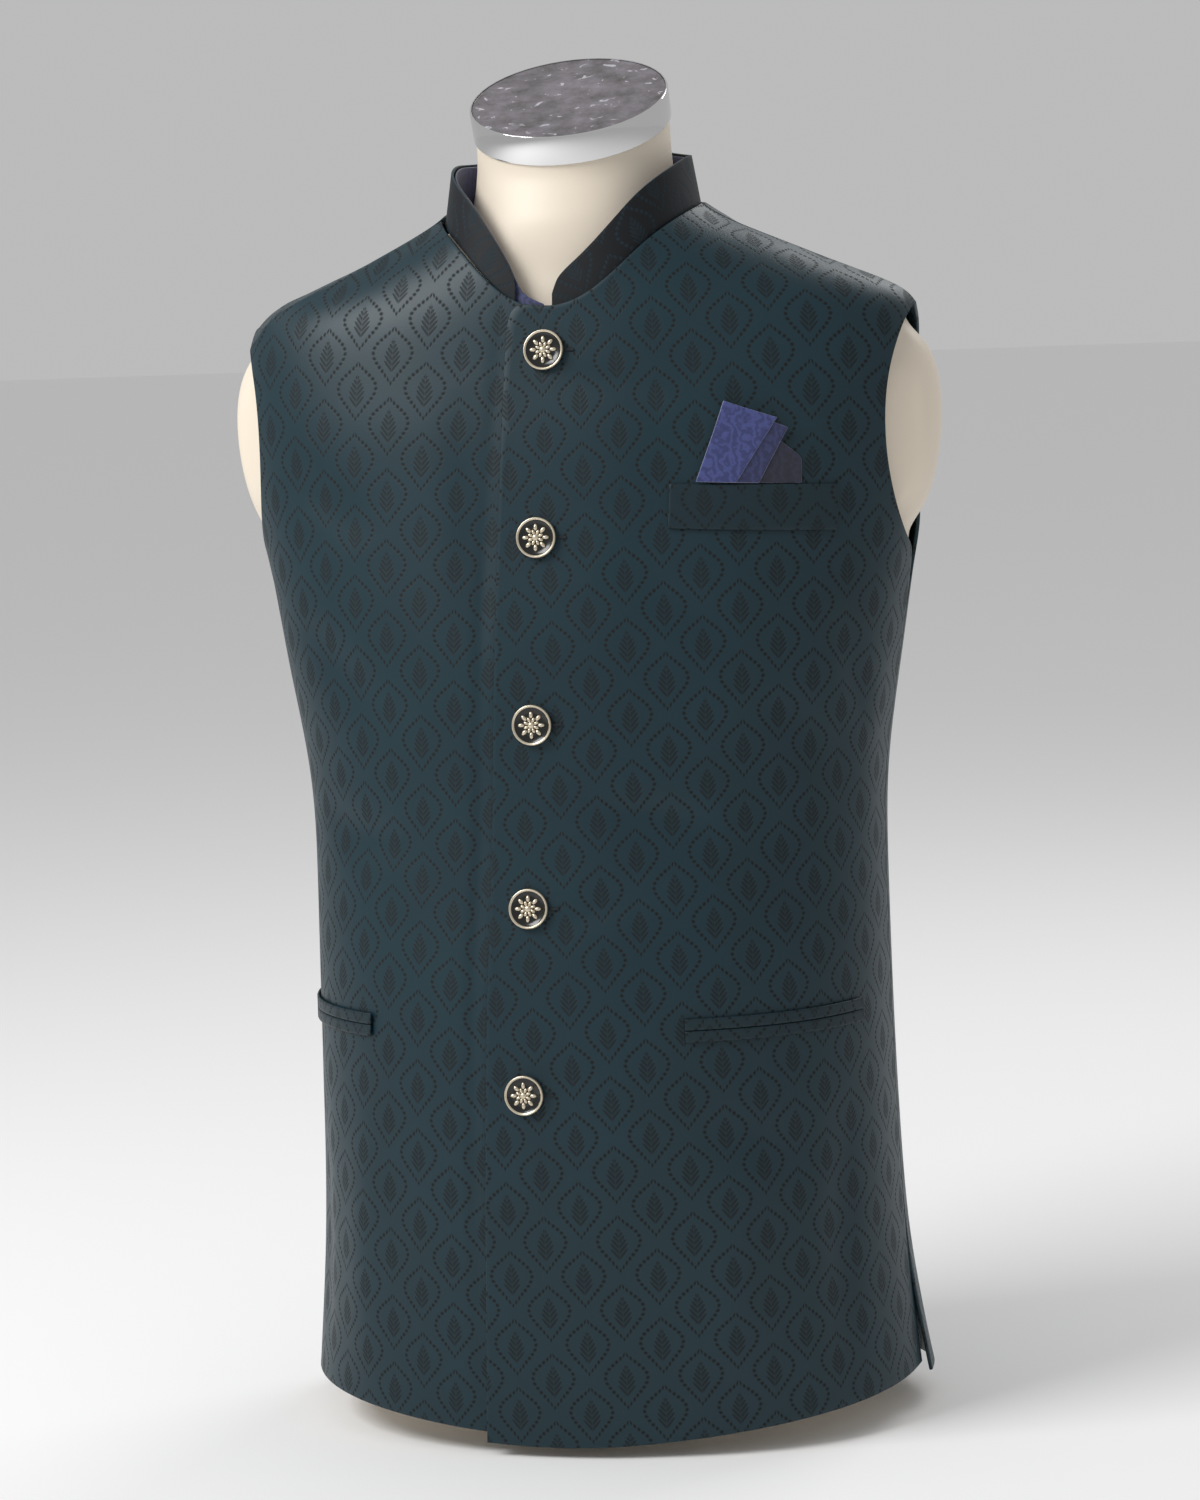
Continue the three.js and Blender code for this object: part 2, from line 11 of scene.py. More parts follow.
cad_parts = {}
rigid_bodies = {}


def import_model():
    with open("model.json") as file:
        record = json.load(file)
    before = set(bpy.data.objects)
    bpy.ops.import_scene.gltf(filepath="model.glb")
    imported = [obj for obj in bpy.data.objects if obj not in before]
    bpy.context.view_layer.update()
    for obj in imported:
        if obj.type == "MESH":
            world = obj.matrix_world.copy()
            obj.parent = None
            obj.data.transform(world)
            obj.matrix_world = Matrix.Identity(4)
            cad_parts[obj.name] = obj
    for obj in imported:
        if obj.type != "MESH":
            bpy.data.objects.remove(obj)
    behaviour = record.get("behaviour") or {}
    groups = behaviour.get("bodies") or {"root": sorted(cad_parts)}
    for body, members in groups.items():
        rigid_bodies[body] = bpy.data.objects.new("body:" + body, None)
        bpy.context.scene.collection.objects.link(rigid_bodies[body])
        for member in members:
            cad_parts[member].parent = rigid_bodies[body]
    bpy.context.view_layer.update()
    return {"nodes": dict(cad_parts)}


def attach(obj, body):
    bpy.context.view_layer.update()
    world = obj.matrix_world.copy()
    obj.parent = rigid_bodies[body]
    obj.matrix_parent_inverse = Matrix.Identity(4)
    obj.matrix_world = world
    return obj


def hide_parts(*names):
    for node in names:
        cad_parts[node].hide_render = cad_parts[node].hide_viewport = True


for left_over in list(bpy.data.objects):
    bpy.data.objects.remove(left_over)

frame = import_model()
scene = bpy.context.scene

# ------------------------------------------------------------ camera
# It stands a little to the wearer's left of the front and a little above the chest,
# a long lens away, and leans slightly.
target = Vector((0, 0, 0.388))
azimuth, elevation, lean = math.radians(13.7), math.radians(7.5), math.radians(-2.35)
away = Vector(
    (
        math.sin(azimuth) * math.cos(elevation),
        -math.cos(azimuth) * math.cos(elevation),
        math.sin(elevation),
    )
)
level = Vector((math.cos(azimuth), math.sin(azimuth), 0))
upright = away.cross(level)
across = level * math.cos(lean) + upright * math.sin(lean)
camera_data = bpy.data.cameras.new("camera")
camera_data.sensor_fit = "VERTICAL"
camera_data.sensor_height = 36
camera_data.lens = 107.2
camera_data.shift_y = 0.035
camera = bpy.data.objects.new("camera", camera_data)
scene.collection.objects.link(camera)
camera.matrix_world = Matrix.Translation(target + away * 2.85) @ Matrix(
    (across, away.cross(across), away)
).transposed().to_4x4()
scene.camera = camera

# ------------------------------------------------------------ shell panels
# Two fronts and a back of woven brocade, canvas and lining, sewn at the sides and shoulders.
# Each skin is the outer wall of its solid, eased into creases and given its thickness again.


def linear(hex_colour):
    parts = [int(hex_colour[i : i + 2], 16) / 255 for i in (0, 2, 4)]
    return tuple(c / 12.92 if c <= 0.04045 else ((c + 0.055) / 1.055) ** 2.4 for c in parts) + (1,)


def node(tree, kind, inputs=(), **settings):
    """Adds a node; an input is a value or another node's output."""
    made = tree.nodes.new(kind)
    for name, value in settings.items():
        setattr(made, name, value)
    for key, value in dict(inputs).items():
        if isinstance(value, bpy.types.NodeSocket):
            tree.links.new(value, made.inputs[key])
        else:
            made.inputs[key].default_value = value
    return made


def new_material(name):
    made = bpy.data.materials.new(name)
    made.use_nodes = True
    return made, made.node_tree, made.node_tree.nodes["Principled BSDF"]


def calc(tree, operation, *values):
    return node(tree, "ShaderNodeMath", enumerate(values), operation=operation).outputs[0]


def curve(tree, value, points):
    """A smooth curve through points of 0..1."""
    made = node(tree, "ShaderNodeFloatCurve", {"Value": value})
    line = made.mapping.curves[0]
    line.points[0].location = points[0]
    line.points[-1].location = points[-1]
    for point in points[1:-1]:
        line.points.new(*point)
    made.mapping.update()
    return made.outputs[0]


pitch_across, pitch_up = 46, 43  # mm between like leaves in a row and in a column
# Half of the dotted frame: height above its middle and half-width there, mm.
frame_outline = [
    (17.5, 0), (14, 2.8), (10.5, 7), (7, 10.8), (3, 13),
    (-1, 12.6), (-5, 10.2), (-9.5, 6.4), (-14, 2.8), (-17.5, 0),
]
frame_reach = 20  # mm, the largest radius that the curves can give
leaf_outline = [(-11, 0), (-8.5, 3), (-4.5, 5.2), (0, 5.3), (4, 3.9), (8, 1.7), (11.5, 0)]
leaf_foot, leaf_length = -11, 22.5
dots_in_half = 13.5
dot_radius = 1.05
barb_pitch = 3.4


def leaf_in_dotted_frame(tree, uv):
    """Masks of the woven figure: the dotted frame, the leaf and the leaf's barbs."""
    split = node(tree, "ShaderNodeSeparateXYZ", {0: uv})
    cells = []
    for axis, pitch in (("X", pitch_across), ("Y", pitch_up)):
        scaled = calc(tree, "MULTIPLY", split.outputs[axis], 1000 / pitch)
        cells.append(calc(tree, "SUBTRACT", calc(tree, "FRACT", scaled), 0.5))
    far = calc(
        tree,
        "GREATER_THAN",
        calc(tree, "ADD", *(calc(tree, "ABSOLUTE", c) for c in cells)),
        0.5,
    )
    x, y = (
        calc(
            tree,
            "MULTIPLY",
            calc(
                tree,
                "SUBTRACT",
                cell,
                calc(tree, "MULTIPLY", far, calc(tree, "MULTIPLY", calc(tree, "SIGN", cell), 0.5)),
            ),
            pitch,
        )
        for cell, pitch in zip(cells, (pitch_across, pitch_up))
    )
    side = calc(tree, "ABSOLUTE", x)
    turn = calc(tree, "DIVIDE", calc(tree, "ARCTAN2", side, y), math.pi)
    reach = calc(tree, "SQRT", calc(tree, "ADD", calc(tree, "POWER", x, 2), calc(tree, "POWER", y, 2)))
    turns = [math.atan2(w, h) / math.pi for h, w in frame_outline]
    steps = [math.dist(a, b) for a, b in zip(frame_outline, frame_outline[1:])]
    along = [sum(steps[:i]) / sum(steps) for i in range(len(frame_outline))]
    radii = [math.hypot(h, w) / frame_reach for h, w in frame_outline]
    radius = calc(tree, "MULTIPLY", curve(tree, turn, list(zip(turns, radii))), frame_reach)
    count = calc(tree, "MULTIPLY", curve(tree, turn, list(zip(turns, along))), dots_in_half)
    dot_pitch = sum(steps) / dots_in_half
    past = calc(tree, "MULTIPLY", calc(tree, "SUBTRACT", calc(tree, "FRACT", count), 0.5), dot_pitch)
    off = calc(tree, "SUBTRACT", reach, radius)
    apart = calc(tree, "SQRT", calc(tree, "ADD", calc(tree, "POWER", past, 2), calc(tree, "POWER", off, 2)))
    inside_dot = calc(tree, "MAXIMUM", calc(tree, "SUBTRACT", dot_radius * 1.5, apart), 0)
    dots = calc(tree, "SMOOTH_MIN", inside_dot, 1, 0.1)
    height = calc(tree, "DIVIDE", calc(tree, "SUBTRACT", y, leaf_foot), leaf_length)
    width_points = [((h - leaf_foot) / leaf_length, w / 10) for h, w in leaf_outline]
    slant = calc(tree, "DIVIDE", calc(tree, "SUBTRACT", y, calc(tree, "MULTIPLY", side, 1.1)), barb_pitch)
    wave = calc(tree, "SINE", calc(tree, "MULTIPLY", slant, 2 * math.pi))
    # The barbs notch the leaf's edge and leave paler gaps between them; the quill is bare.
    notched = calc(tree, "ADD", calc(tree, "MULTIPLY", wave, 1.6), 9)
    half = calc(tree, "MULTIPLY", curve(tree, height, width_points), notched)
    edge = calc(tree, "MULTIPLY", calc(tree, "SUBTRACT", half, side), 1.5)
    from_middle = calc(tree, "ABSOLUTE", calc(tree, "SUBTRACT", height, 0.5))
    in_height = calc(tree, "LESS_THAN", from_middle, 0.49)
    leaf = calc(tree, "MULTIPLY", calc(tree, "MINIMUM", calc(tree, "MAXIMUM", edge, 0), 1), in_height)
    barbs = calc(tree, "ADD", calc(tree, "MULTIPLY", wave, 0.35), 0.65)
    quill = calc(tree, "MINIMUM", calc(tree, "ADD", calc(tree, "MULTIPLY", side, 1.2), 0.4), 1)
    return dots, calc(tree, "MULTIPLY", leaf, calc(tree, "MULTIPLY", barbs, quill))


def satin_brocade(name, ground, figure, contrast, roughness, sheen):
    """Jacquard silk: a satin ground that glints along its floats, and a duller, darker woven figure."""
    made, tree, shader = new_material(name)
    uv = node(tree, "ShaderNodeUVMap", uv_map="cut").outputs[0]
    dots, leaf = leaf_in_dotted_frame(tree, uv)
    woven = calc(tree, "MINIMUM", calc(tree, "ADD", dots, calc(tree, "MULTIPLY", leaf, 0.8)), 1)
    woven = calc(tree, "MULTIPLY", woven, contrast)
    # Slight unevenness of the dye and of the press, some 60 mm across.
    uneven = node(tree, "ShaderNodeTexNoise", {"Vector": uv, "Scale": 16, "Detail": 2}).outputs[0]
    lift = calc(tree, "ADD", calc(tree, "MULTIPLY", uneven, 0.3), 0.85)
    colour = node(
        tree, "ShaderNodeMix", {0: woven, 6: linear(ground), 7: linear(figure)}, data_type="RGBA"
    ).outputs[2]
    shaded = node(tree, "ShaderNodeVectorMath", {0: colour, 1: lift}, operation="MULTIPLY").outputs[0]
    tree.links.new(shaded, shader.inputs["Base Color"])
    duller = calc(tree, "ADD", calc(tree, "MULTIPLY", woven, 0.25), roughness)
    tree.links.new(duller, shader.inputs["Roughness"])
    shader.inputs["Specular IOR Level"].default_value = 0.32
    shader.inputs["Sheen Weight"].default_value = sheen
    shader.inputs["Sheen Roughness"].default_value = 0.4
    shader.inputs["Sheen Tint"].default_value = linear("4f7a84")
    # The threads are 0.2 mm apart, too fine to show, so the weave is drawn 1 mm coarse.
    weave = node(tree, "ShaderNodeTexNoise", {"Vector": uv, "Scale": 1000, "Detail": 1}).outputs[0]
    relief = calc(tree, "SUBTRACT", calc(tree, "MULTIPLY", weave, 0.5), woven)
    bump = node(tree, "ShaderNodeBump", {"Height": relief, "Strength": 0.25, "Distance": 0.0003})
    tree.links.new(bump.outputs[0], shader.inputs["Normal"])
    return made


outward = Vector((1, 1, 0))  # away from the body's upright middle line


def outer_wall(bm):
    """Keeps the faces reached from the largest one that faces out without crossing a sharp edge."""
    bm.normal_update()
    start = max(bm.faces, key=lambda f: f.calc_area() * f.normal.dot(f.calc_center_median() * outward))
    kept, queue = {start}, [start]
    while queue:
        for edge in queue.pop().edges:
            if len(edge.link_faces) == 2 and edge.calc_face_angle() < math.radians(50):
                fresh = [f for f in edge.link_faces if f not in kept]
                kept.update(fresh)
                queue.extend(fresh)
    bmesh.ops.delete(bm, geom=[f for f in bm.faces if f not in kept], context="FACES")


def lay_flat(obj):
    """Unwraps the cloth to its cut: the UV map "cut" is in metres, its grain upright."""
    obj.data.uv_layers.new(name="cut")
    bpy.context.view_layer.objects.active = obj
    bpy.ops.object.select_all(action="DESELECT")
    obj.select_set(True)
    bpy.ops.object.mode_set(mode="EDIT")
    bpy.ops.mesh.select_all(action="SELECT")
    bpy.ops.uv.unwrap(method="ANGLE_BASED", margin=0)
    bpy.ops.object.mode_set(mode="OBJECT")
    mesh = obj.data
    layer = mesh.uv_layers["cut"]
    flat = np.array([d.uv[:] for d in layer.data])
    corners = np.array([mesh.vertices[loop.vertex_index].co[:] for loop in mesh.loops])
    drawn = 0
    for face in mesh.polygons:
        p = flat[list(face.loop_indices)]
        q = np.roll(p, -1, 0)
        drawn += abs((p[:, 0] * q[:, 1] - p[:, 1] * q[:, 0]).sum()) / 2
    flat *= math.sqrt(sum(f.area for f in mesh.polygons) / drawn)
    # The grain is the way that height grows fastest over the lower half of the piece.
    low = corners[:, 2] <= np.median(corners[:, 2]) + 1e-6
    terms = np.column_stack([flat[low], np.ones(low.sum())])
    grain = np.linalg.lstsq(terms, corners[low, 2], rcond=None)[0][:2]
    grain /= np.linalg.norm(grain)
    flat = flat @ np.array([[grain[1], grain[0]], [-grain[0], grain[1]]])
    flat -= flat.min(0)
    for d, uv in zip(layer.data, flat):
        d.uv = uv
    return flat.max(0)


def freeze(obj, *modifiers):
    """Adds each modifier, given as (type, settings), and applies it."""
    bpy.context.view_layer.objects.active = obj
    for kind, settings in modifiers:
        made = obj.modifiers.new(kind.lower(), kind)
        for key, value in settings.items():
            setattr(made, key, value)
        bpy.ops.object.modifier_apply(modifier=made.name)


fold_depth = 1.6  # every fold's depth is drawn deeper by this much


def ease(obj, creases):
    """Presses soft folds into a skin. A crease runs between two places, each a turn from the
    centre front in degrees and a height in mm; its width and depth are mm, a ridge's depth negative."""
    mesh = obj.data
    normals = np.array([v.normal[:] for v in mesh.vertices])
    places = np.array([v.co[:] for v in mesh.vertices])
    turn = np.degrees(np.arctan2(places[:, 0], -places[:, 1]))
    girth = 180 / math.pi / (np.hypot(places[:, 0], places[:, 1]) * 1000)  # degrees in a mm
    shift = np.zeros(len(places))
    for start_turn, start_z, end_turn, end_z, width, depth in creases:
        across_by = ((turn - start_turn + 180) % 360 - 180) / girth
        run = np.array([(end_turn - start_turn) / girth.mean(), end_z - start_z])
        reach = np.linalg.norm(run)
        run /= reach
        up_by = places[:, 2] * 1000 - start_z
        along = (across_by * run[0] + up_by * run[1]) / reach
        beside = across_by * run[1] - up_by * run[0] + width * 0.35 * np.sin(3 * along)
        fade = np.sin(np.clip(along, 0, 1) * math.pi) ** 1.3
        shift += fold_depth * depth * fade * np.exp(-((beside / width) ** 2))
    places -= normals * (shift / 1000)[:, None]
    mesh.vertices.foreach_set("co", places.ravel())
    mesh.update()


def skin(
    name, materials, wall, smoothing=0, creases=(), levels=2, edge=0.0006
):
    """A cloth piece on the form of the CAD node of the same name. Sizes in metres."""
    mesh = frame["nodes"][name].data.copy()
    mesh.materials.clear()
    for material in materials:
        mesh.materials.append(material)
    obj = bpy.data.objects.new(name + "_cloth", mesh)
    scene.collection.objects.link(obj)
    bm = bmesh.new()
    bm.from_mesh(mesh)
    bmesh.ops.remove_doubles(bm, verts=bm.verts, dist=1e-6)
    outer_wall(bm)
    bmesh.ops.join_triangles(
        bm,
        faces=bm.faces,
        angle_face_threshold=math.radians(50),
        angle_shape_threshold=math.radians(180),
    )
    for face in bm.faces:
        face.material_index = 0
    bm.to_mesh(mesh)
    bm.free()
    cut = lay_flat(obj)
    rounding = {"levels": levels, "render_levels": levels, "boundary_smooth": "PRESERVE_CORNERS"}
    freeze(obj, ("SUBSURF", rounding))
    bm = bmesh.new()
    bm.from_mesh(mesh)
    inside = [v for v in bm.verts if not v.is_boundary]
    for _ in range(smoothing):
        bmesh.ops.smooth_vert(bm, verts=inside, factor=0.5, use_axis_x=True, use_axis_y=True, use_axis_z=True)
    bm.normal_update()
    bm.to_mesh(mesh)
    bm.free()
    ease(obj, creases)
    freeze(
        obj,
        ("SOLIDIFY", {"thickness": wall, "offset": -1, "material_offset_rim": len(materials) - 1}),
        (
            "BEVEL",
            {"width": edge, "segments": 2, "limit_method": "ANGLE", "angle_limit": math.radians(60)},
        ),
    )
    mesh.shade_smooth()
    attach(obj, "root")
    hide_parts(name)
    return obj


panel_wall = 0.0022
teal_brocade = satin_brocade("teal silk brocade", "122c35", "020506", 1.0, 0.42, 0.04)

front_creases = {
    "front_left": [
        (8, 400, 44, 384, 11, 1.6),
        (14, 545, 50, 500, 15, 1.2),
        (64, 520, 80, 430, 12, 1.6),
        (52, 470, 84, 380, 16, 1.5),
        (2, 668, 34, 640, 9, 0.9),
        (0, 330, 30, 352, 10, 1.0),
        (40, 20, 46, 240, 20, -1.8),
        (62, 20, 68, 230, 15, 1.8),
        (50, 655, 70, 610, 12, 1.2),
        (28, 210, 66, 170, 18, 1.1),
    ],
    "front_right": [
        (-20.5, -60, -19, 760, 5, 0.8),
        (-30, 660, -22, 470, 15, 1.4),
        (-68, 520, -44, 440, 14, 1.5),
        (-32, 375, -74, 398, 15, 1.6),
        (-50, 20, -46, 230, 20, -1.7),
        (-74, 620, -50, 560, 12, 1.2),
        (-66, 30, -70, 220, 15, 1.5),
    ],
}
for panel_name, creases in front_creases.items():
    skin(panel_name, [teal_brocade], panel_wall, 8, creases, levels=3)

back_creases = [
    (150, 400, 205, 392, 17, 2.0),
    (210, 352, 166, 362, 15, 1.6),
    (112, 470, 138, 402, 13, 1.6),
    (250, 462, 224, 396, 14, 1.7),
    (120, 640, 134, 560, 14, 1.4),
    (238, 640, 226, 566, 13, 1.3),
    (154, 20, 158, 250, 24, -1.9),
    (206, 20, 200, 262, 22, -2.0),
    (128, 20, 126, 190, 18, 1.6),
    (234, 20, 236, 205, 17, 1.7),
    (158, 738, 204, 740, 10, 1.1),
]
skin("back", [teal_brocade], panel_wall, 10, back_creases, levels=2)

# ------------------------------------------------------------ stand collar
# A stiffened band of dark brocade, its top edge turned over, and the navy lining inside it.
collar_brocade = satin_brocade("dark collar brocade", "080e14", "1a2c35", 0.8, 0.6, 0.02)
turned_edge, _, edge_shader = new_material("turned collar edge")
edge_shader.inputs["Base Color"].default_value = linear("22363e")
edge_shader.inputs["Roughness"].default_value = 0.6
skin("collar", [collar_brocade, turned_edge], 0.0017)


def navy_jacquard(name, pale, deep, roughness):
    """Polyester satin lining: smooth and blue where it faces the light, nearly black in its folds."""
    made, tree, shader = new_material(name)
    uv = node(tree, "ShaderNodeUVMap", uv_map="cut").outputs[0]
    # Swirls of the jacquard, about 12 mm apart.
    swirls = {"Vector": uv, "Scale": 40, "Distortion": 14, "Detail": 3, "Detail Scale": 3}
    swirl = node(tree, "ShaderNodeTexWave", swirls).outputs["Fac"]
    colour = node(
        tree, "ShaderNodeMix", {0: swirl, 6: linear(deep), 7: linear(pale)}, data_type="RGBA"
    ).outputs[2]
    tree.links.new(colour, shader.inputs["Base Color"])
    shader.inputs["Roughness"].default_value = roughness
    shader.inputs["Sheen Weight"].default_value = 0.2
    return made


lining = navy_jacquard("navy satin lining", "3a426e", "232849", 0.4)
skin("collar_lining", [lining], 0.001, edge=0.0003)

# ------------------------------------------------------------ pockets
# A welt on the wearer's left breast, and two jetted pockets with an upper and a lower lip.
# The welt and the lips use the body's brocade with a slightly darker ground and a weaker figure. The darker
# ground is painted shade of the lips folded into the pocket mouths.
pocket_brocade_painted_shade = satin_brocade("teal brocade darkened for painted pocket shade", "10262e", "020506", 0.9, 0.44, 0.04)
skin("breast_welt", [pocket_brocade_painted_shade], 0.0018, edge=0.0007)
for side in ("left", "right"):
    for lip in ("lower", "upper"):
        skin(
            f"pocket_lip_{lip}_{side}", [pocket_brocade_painted_shade], 0.0016, edge=0.0007
        )

# ------------------------------------------------------------ pocket square
# Three folds of navy satin that stand out of the welt, their rolled hem a paler thread.
rolled_hem, _, hem_shader = new_material("pale rolled hem")
hem_shader.inputs["Base Color"].default_value = linear("a9adc8")
hem_shader.inputs["Roughness"].default_value = 0.5
fold_cloths = [
    navy_jacquard("lit navy satin", "40487f", "2c3363", 0.32),
    navy_jacquard("navy satin in half shade", "30365f", "20244a", 0.4),
    navy_jacquard("navy satin in shade", "1f2238", "151828", 0.45),
]
for number, cloth in enumerate(fold_cloths, 1):
    skin(
        f"square_fold_{number}", [cloth, rolled_hem], 0.0009, edge=0.0003
    )

# ------------------------------------------------------------ buttons
# Cast shank buttons: a bright rolled rim, a black enamelled field and a raised plain rosette.
silver, _, silver_shader = new_material("silvered cast metal")
silver_shader.inputs["Base Color"].default_value = linear("d6cbb6")
silver_shader.inputs["Metallic"].default_value = 1
silver_shader.inputs["Roughness"].default_value = 0.34
enamel, _, enamel_shader = new_material("black enamel")
enamel_shader.inputs["Base Color"].default_value = linear("10130f")
enamel_shader.inputs["Roughness"].default_value = 0.2
thread, _, thread_shader = new_material("buttonhole twist")
thread_shader.inputs["Base Color"].default_value = linear("0e181d")
thread_shader.inputs["Roughness"].default_value = 0.8

petals = 8
rim_steps = 48


def button_mesh(bm, radius):
    """A button about its own Z axis with its back at 0, by spinning half its section."""
    section = [
        (0.0, 0.0), (0.93, 0.0), (1.0, 0.0018), (0.99, 0.0032), (0.95, 0.0039),
        (0.9, 0.0037), (0.87, 0.0029), (0.5, 0.0034), (0.0, 0.0037),
    ]
    verts = [bm.verts.new((share * radius, 0, height)) for share, height in section]
    edges = [bm.edges.new(pair) for pair in zip(verts, verts[1:])]
    bmesh.ops.spin(
        bm, geom=verts + edges, cent=(0, 0, 0), axis=(0, 0, 1), angle=2 * math.pi,
        steps=rim_steps, use_merge=True,
    )
    bmesh.ops.remove_doubles(bm, verts=bm.verts, dist=1e-6)
    bmesh.ops.recalc_face_normals(bm, faces=bm.faces)
    for face in bm.faces:
        share = face.calc_center_median().xy.length / radius
        on_top = face.calc_center_median().z > 0.0026
        face.material_index = 1 if share < 0.88 and on_top else 0
    for petal in range(petals):
        for distance, size in ((0.5, 0.105), (0.27, 0.085)):
            angle = 2 * math.pi * (petal + (0.5 if distance < 0.5 else 0)) / petals
            turn = Matrix.Rotation(angle, 4, "Z")
            stretch = Matrix.Diagonal((size * 1.7, size, 0.09, 1)) * radius
            stretch[3][3] = 1
            place = turn @ Matrix.Translation((distance * radius, 0, 0.0033)) @ stretch
            bead = bmesh.ops.create_icosphere(bm, subdivisions=2, radius=1, matrix=place)
            for face in {f for v in bead["verts"] for f in v.link_faces}:
                face.material_index = 0
    place = Matrix.Translation((0, 0, 0.0036)) @ Matrix.Diagonal((0.17, 0.17, 0.1, 1)) * radius
    place[3][3] = 1
    place.translation = (0, 0, 0.0036)
    bmesh.ops.create_icosphere(bm, subdivisions=2, radius=1, matrix=place)


for number in range(1, 6):
    name = f"button_{number}"
    spots = np.array([v.co[:] for v in frame["nodes"][name].data.vertices])
    middle = (spots.min(0) + spots.max(0)) / 2
    facing = Vector(np.linalg.svd(spots - spots.mean(0), full_matrices=False)[2][2])
    facing = facing if facing.y < 0 else -facing
    heights = (spots - middle) @ np.array(facing)
    back_face = Vector(middle) + facing * float(heights.min())
    radius = float(np.ptp(spots[:, 0])) / 2
    upright_turn = facing.to_track_quat("Z", "Y").to_matrix().to_4x4()
    bm = bmesh.new()
    button_mesh(bm, radius)
    bmesh.ops.transform(bm, matrix=Matrix.Translation(back_face) @ upright_turn, verts=bm.verts)
    mesh = bpy.data.meshes.new(name + "_metal")
    bm.to_mesh(mesh)
    bm.free()
    for material in (silver, enamel):
        mesh.materials.append(material)
    mesh.shade_smooth()
    obj = bpy.data.objects.new(name + "_metal", mesh)
    scene.collection.objects.link(obj)
    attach(obj, "root")
    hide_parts(name)
    # The worked end of the buttonhole shows beyond the rim.
    bm = bmesh.new()
    bmesh.ops.create_cube(bm, size=1)
    bmesh.ops.scale(bm, vec=(0.009, 0.0016, 0.0008), verts=bm.verts)
    bmesh.ops.translate(bm, vec=(radius + 0.0015, 0, 0.0002), verts=bm.verts)
    bmesh.ops.bevel(
        bm, geom=bm.edges, offset=0.0003, affect="EDGES", segments=2, profile=0.5, material=-1
    )
    sideways = Vector((0, 0, 1)).cross(facing).normalized()
    level_turn = Matrix((sideways, facing.cross(sideways), facing)).transposed().to_4x4()
    bmesh.ops.transform(bm, matrix=Matrix.Translation(back_face) @ level_turn, verts=bm.verts)
    mesh = bpy.data.meshes.new(f"buttonhole_{number}")
    bm.to_mesh(mesh)
    bm.free()
    mesh.materials.append(thread)
    obj = bpy.data.objects.new(f"buttonhole_{number}", mesh)
    scene.collection.objects.link(obj)
    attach(obj, "root")

# ------------------------------------------------------------ dress form
# A moulded torso shell with a smooth cream coating; it shows at the neck and in the armholes.
coating, _, coating_shader = new_material("cream coated shell")
coating_shader.inputs["Base Color"].default_value = linear("e4d8c6")
coating_shader.inputs["Roughness"].default_value = 0.5


def smooth_copy(name, material, levels=0, sharp=35):
    """A merged, rounded copy of a CAD node. Its flat foot stays flat."""
    mesh = frame["nodes"][name].data.copy()
    mesh.materials.clear()
    mesh.materials.append(material)
    obj = bpy.data.objects.new(name + "_finish", mesh)
    scene.collection.objects.link(obj)
    bm = bmesh.new()
    bm.from_mesh(mesh)
    bmesh.ops.remove_doubles(bm, verts=bm.verts, dist=1e-6)
    crease = bm.edges.layers.float.new("crease_edge")
    for edge in bm.edges:
        if len(edge.link_faces) == 2 and edge.calc_face_angle() > math.radians(50):
            edge[crease] = 1
    if levels:
        bmesh.ops.join_triangles(
            bm,
            faces=bm.faces,
            angle_face_threshold=math.radians(30),
            angle_shape_threshold=math.radians(180),
        )
    bm.to_mesh(mesh)
    bm.free()
    if levels:
        freeze(obj, ("SUBSURF", {"levels": levels, "render_levels": levels}))
    mesh.shade_smooth()
    mesh.set_sharp_from_angle(angle=math.radians(sharp))
    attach(obj, "root")
    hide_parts(name)
    return obj


smooth_copy("dress_form", coating, levels=2)

# ------------------------------------------------------------ neck band and cap
# A rolled strip of chromed steel round the neck, and a disc of stone-look laminate in it.
chrome, _, chrome_shader = new_material("polished chrome")
chrome_shader.inputs["Base Color"].default_value = linear("dcdcdc")
chrome_shader.inputs["Metallic"].default_value = 1
chrome_shader.inputs["Roughness"].default_value = 0.07
smooth_copy("neck_band", chrome)

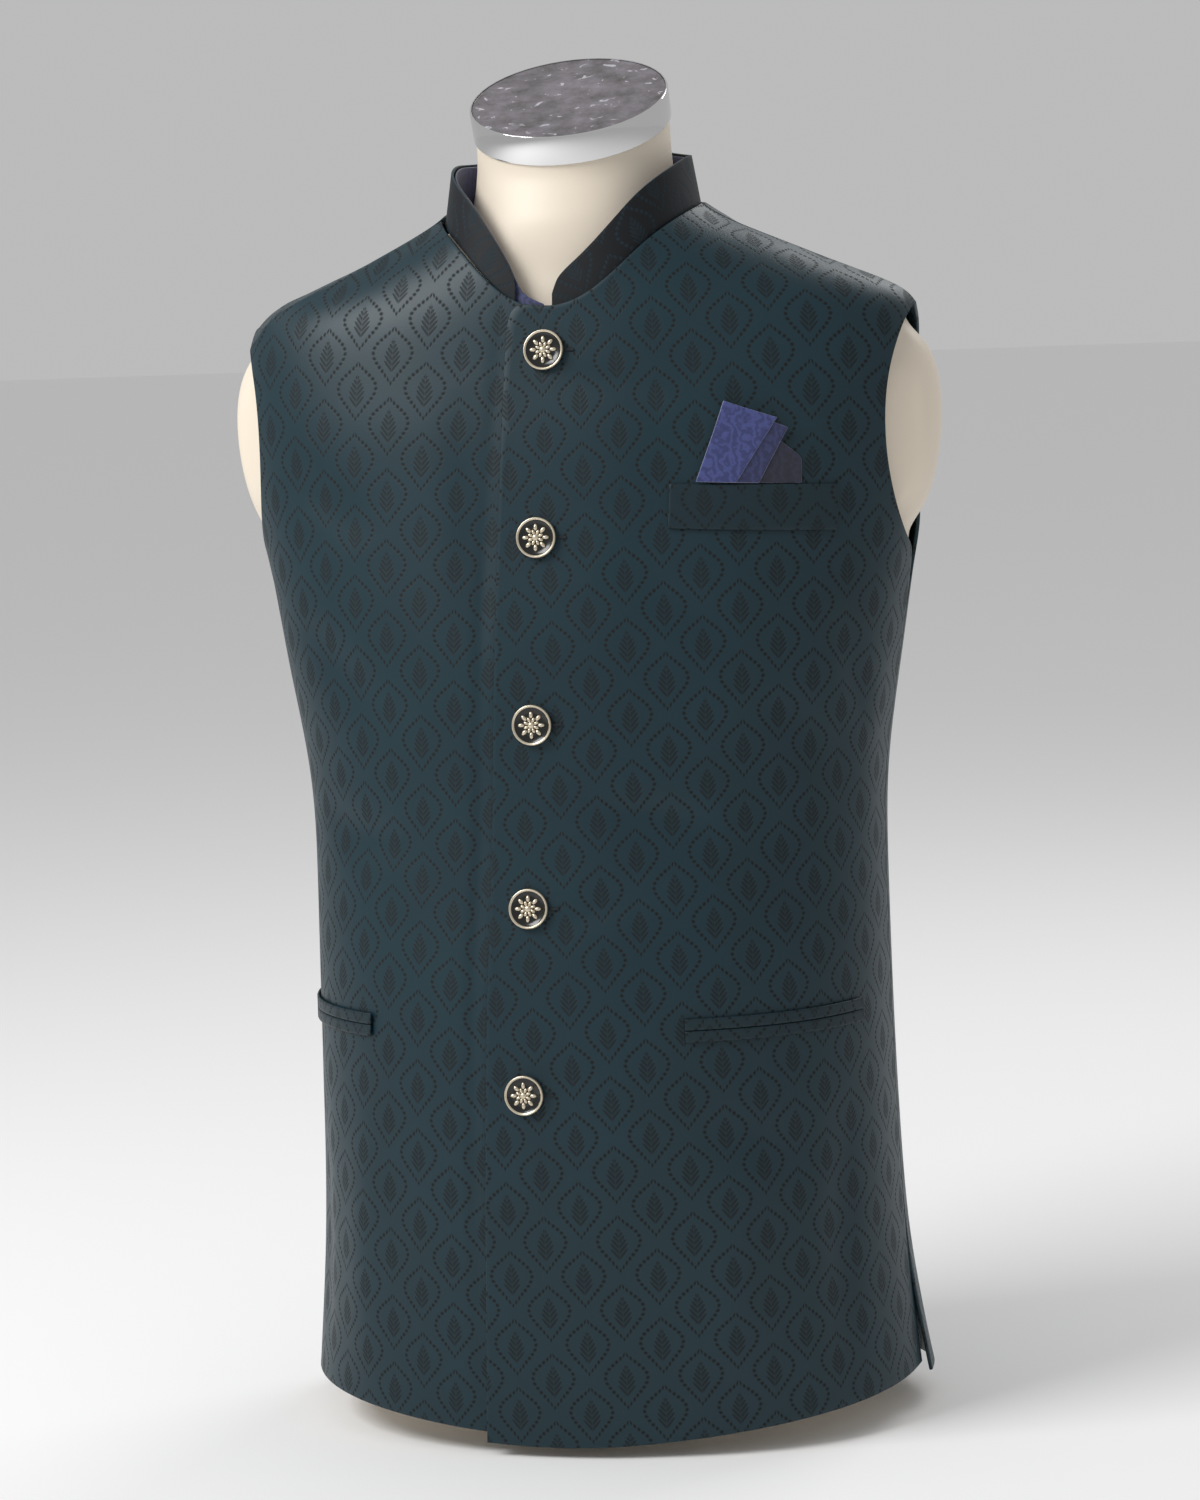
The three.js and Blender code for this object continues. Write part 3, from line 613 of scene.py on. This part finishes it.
laminate, laminate_tree, laminate_shader = new_material("stone-look laminate")
spot = node(laminate_tree, "ShaderNodeTexCoord").outputs["Object"]
clouds = {"Vector": spot, "Scale": 60, "Detail": 6, "Roughness": 0.7}
cloud = node(laminate_tree, "ShaderNodeTexNoise", clouds)
flecks = {"Vector": spot, "Scale": 120, "Detail": 3, "Distortion": 0.8}
chips = node(laminate_tree, "ShaderNodeTexNoise", flecks)
tone = node(laminate_tree, "ShaderNodeValToRGB", {0: cloud.outputs[0]})
tone.color_ramp.elements[0].color = linear("403b3a")
tone.color_ramp.elements[0].position = 0.3
tone.color_ramp.elements[1].color = linear("7d7880")
tone.color_ramp.elements[1].position = 0.7
chip = node(laminate_tree, "ShaderNodeValToRGB", {0: chips.outputs[0]})
chip.color_ramp.elements[0].position = 0.64
chip.color_ramp.elements[1].position = 0.68
blend = {0: chip.outputs[0], 6: tone.outputs[0], 7: linear("b4b2ba")}
stone = node(laminate_tree, "ShaderNodeMix", blend, data_type="RGBA")
laminate_tree.links.new(stone.outputs[2], laminate_shader.inputs["Base Color"])
laminate_shader.inputs["Roughness"].default_value = 0.25
smooth_copy("cap_plate", laminate)

# ------------------------------------------------------------ floor and light
# A plain pale floor, a large soft key from the left of the view, a softer lamp behind the piece
# and an even white surround.
floor_paint, _, floor_shader = new_material("pale floor")
floor_shader.inputs["Base Color"].default_value = linear("f7f7f7")
floor_shader.inputs["Roughness"].default_value = 0.9
bm = bmesh.new()
bmesh.ops.create_grid(bm, x_segments=1, y_segments=1, size=20)
floor_mesh = bpy.data.meshes.new("floor")
bm.to_mesh(floor_mesh)
bm.free()
floor_mesh.materials.append(floor_paint)
floor = bpy.data.objects.new("floor", floor_mesh)
scene.collection.objects.link(floor)


def soft_light(name, place, size, power):
    lamp = bpy.data.lights.new(name, "AREA")
    lamp.shape = "RECTANGLE"
    lamp.size, lamp.size_y = size
    lamp.energy = power
    obj = bpy.data.objects.new(name, lamp)
    scene.collection.objects.link(obj)
    obj.location = place
    obj.rotation_euler = (Vector((0, 0, 0.45)) - Vector(place)).to_track_quat("-Z", "Y").to_euler()


soft_light("key", (-1.7, -1.5, 2.3), (1.5, 1.2), 62)
soft_light("rim", (0.8, 1.6, 2.0), (1.2, 0.8), 12)
world = bpy.data.worlds.new("surround")
world.use_nodes = True
glow = world.node_tree.nodes["Background"]
glow.inputs["Color"].default_value = linear("ffffff")
glow.inputs["Strength"].default_value = 0.5
scene.world = world
scene.view_settings.view_transform = "Standard"
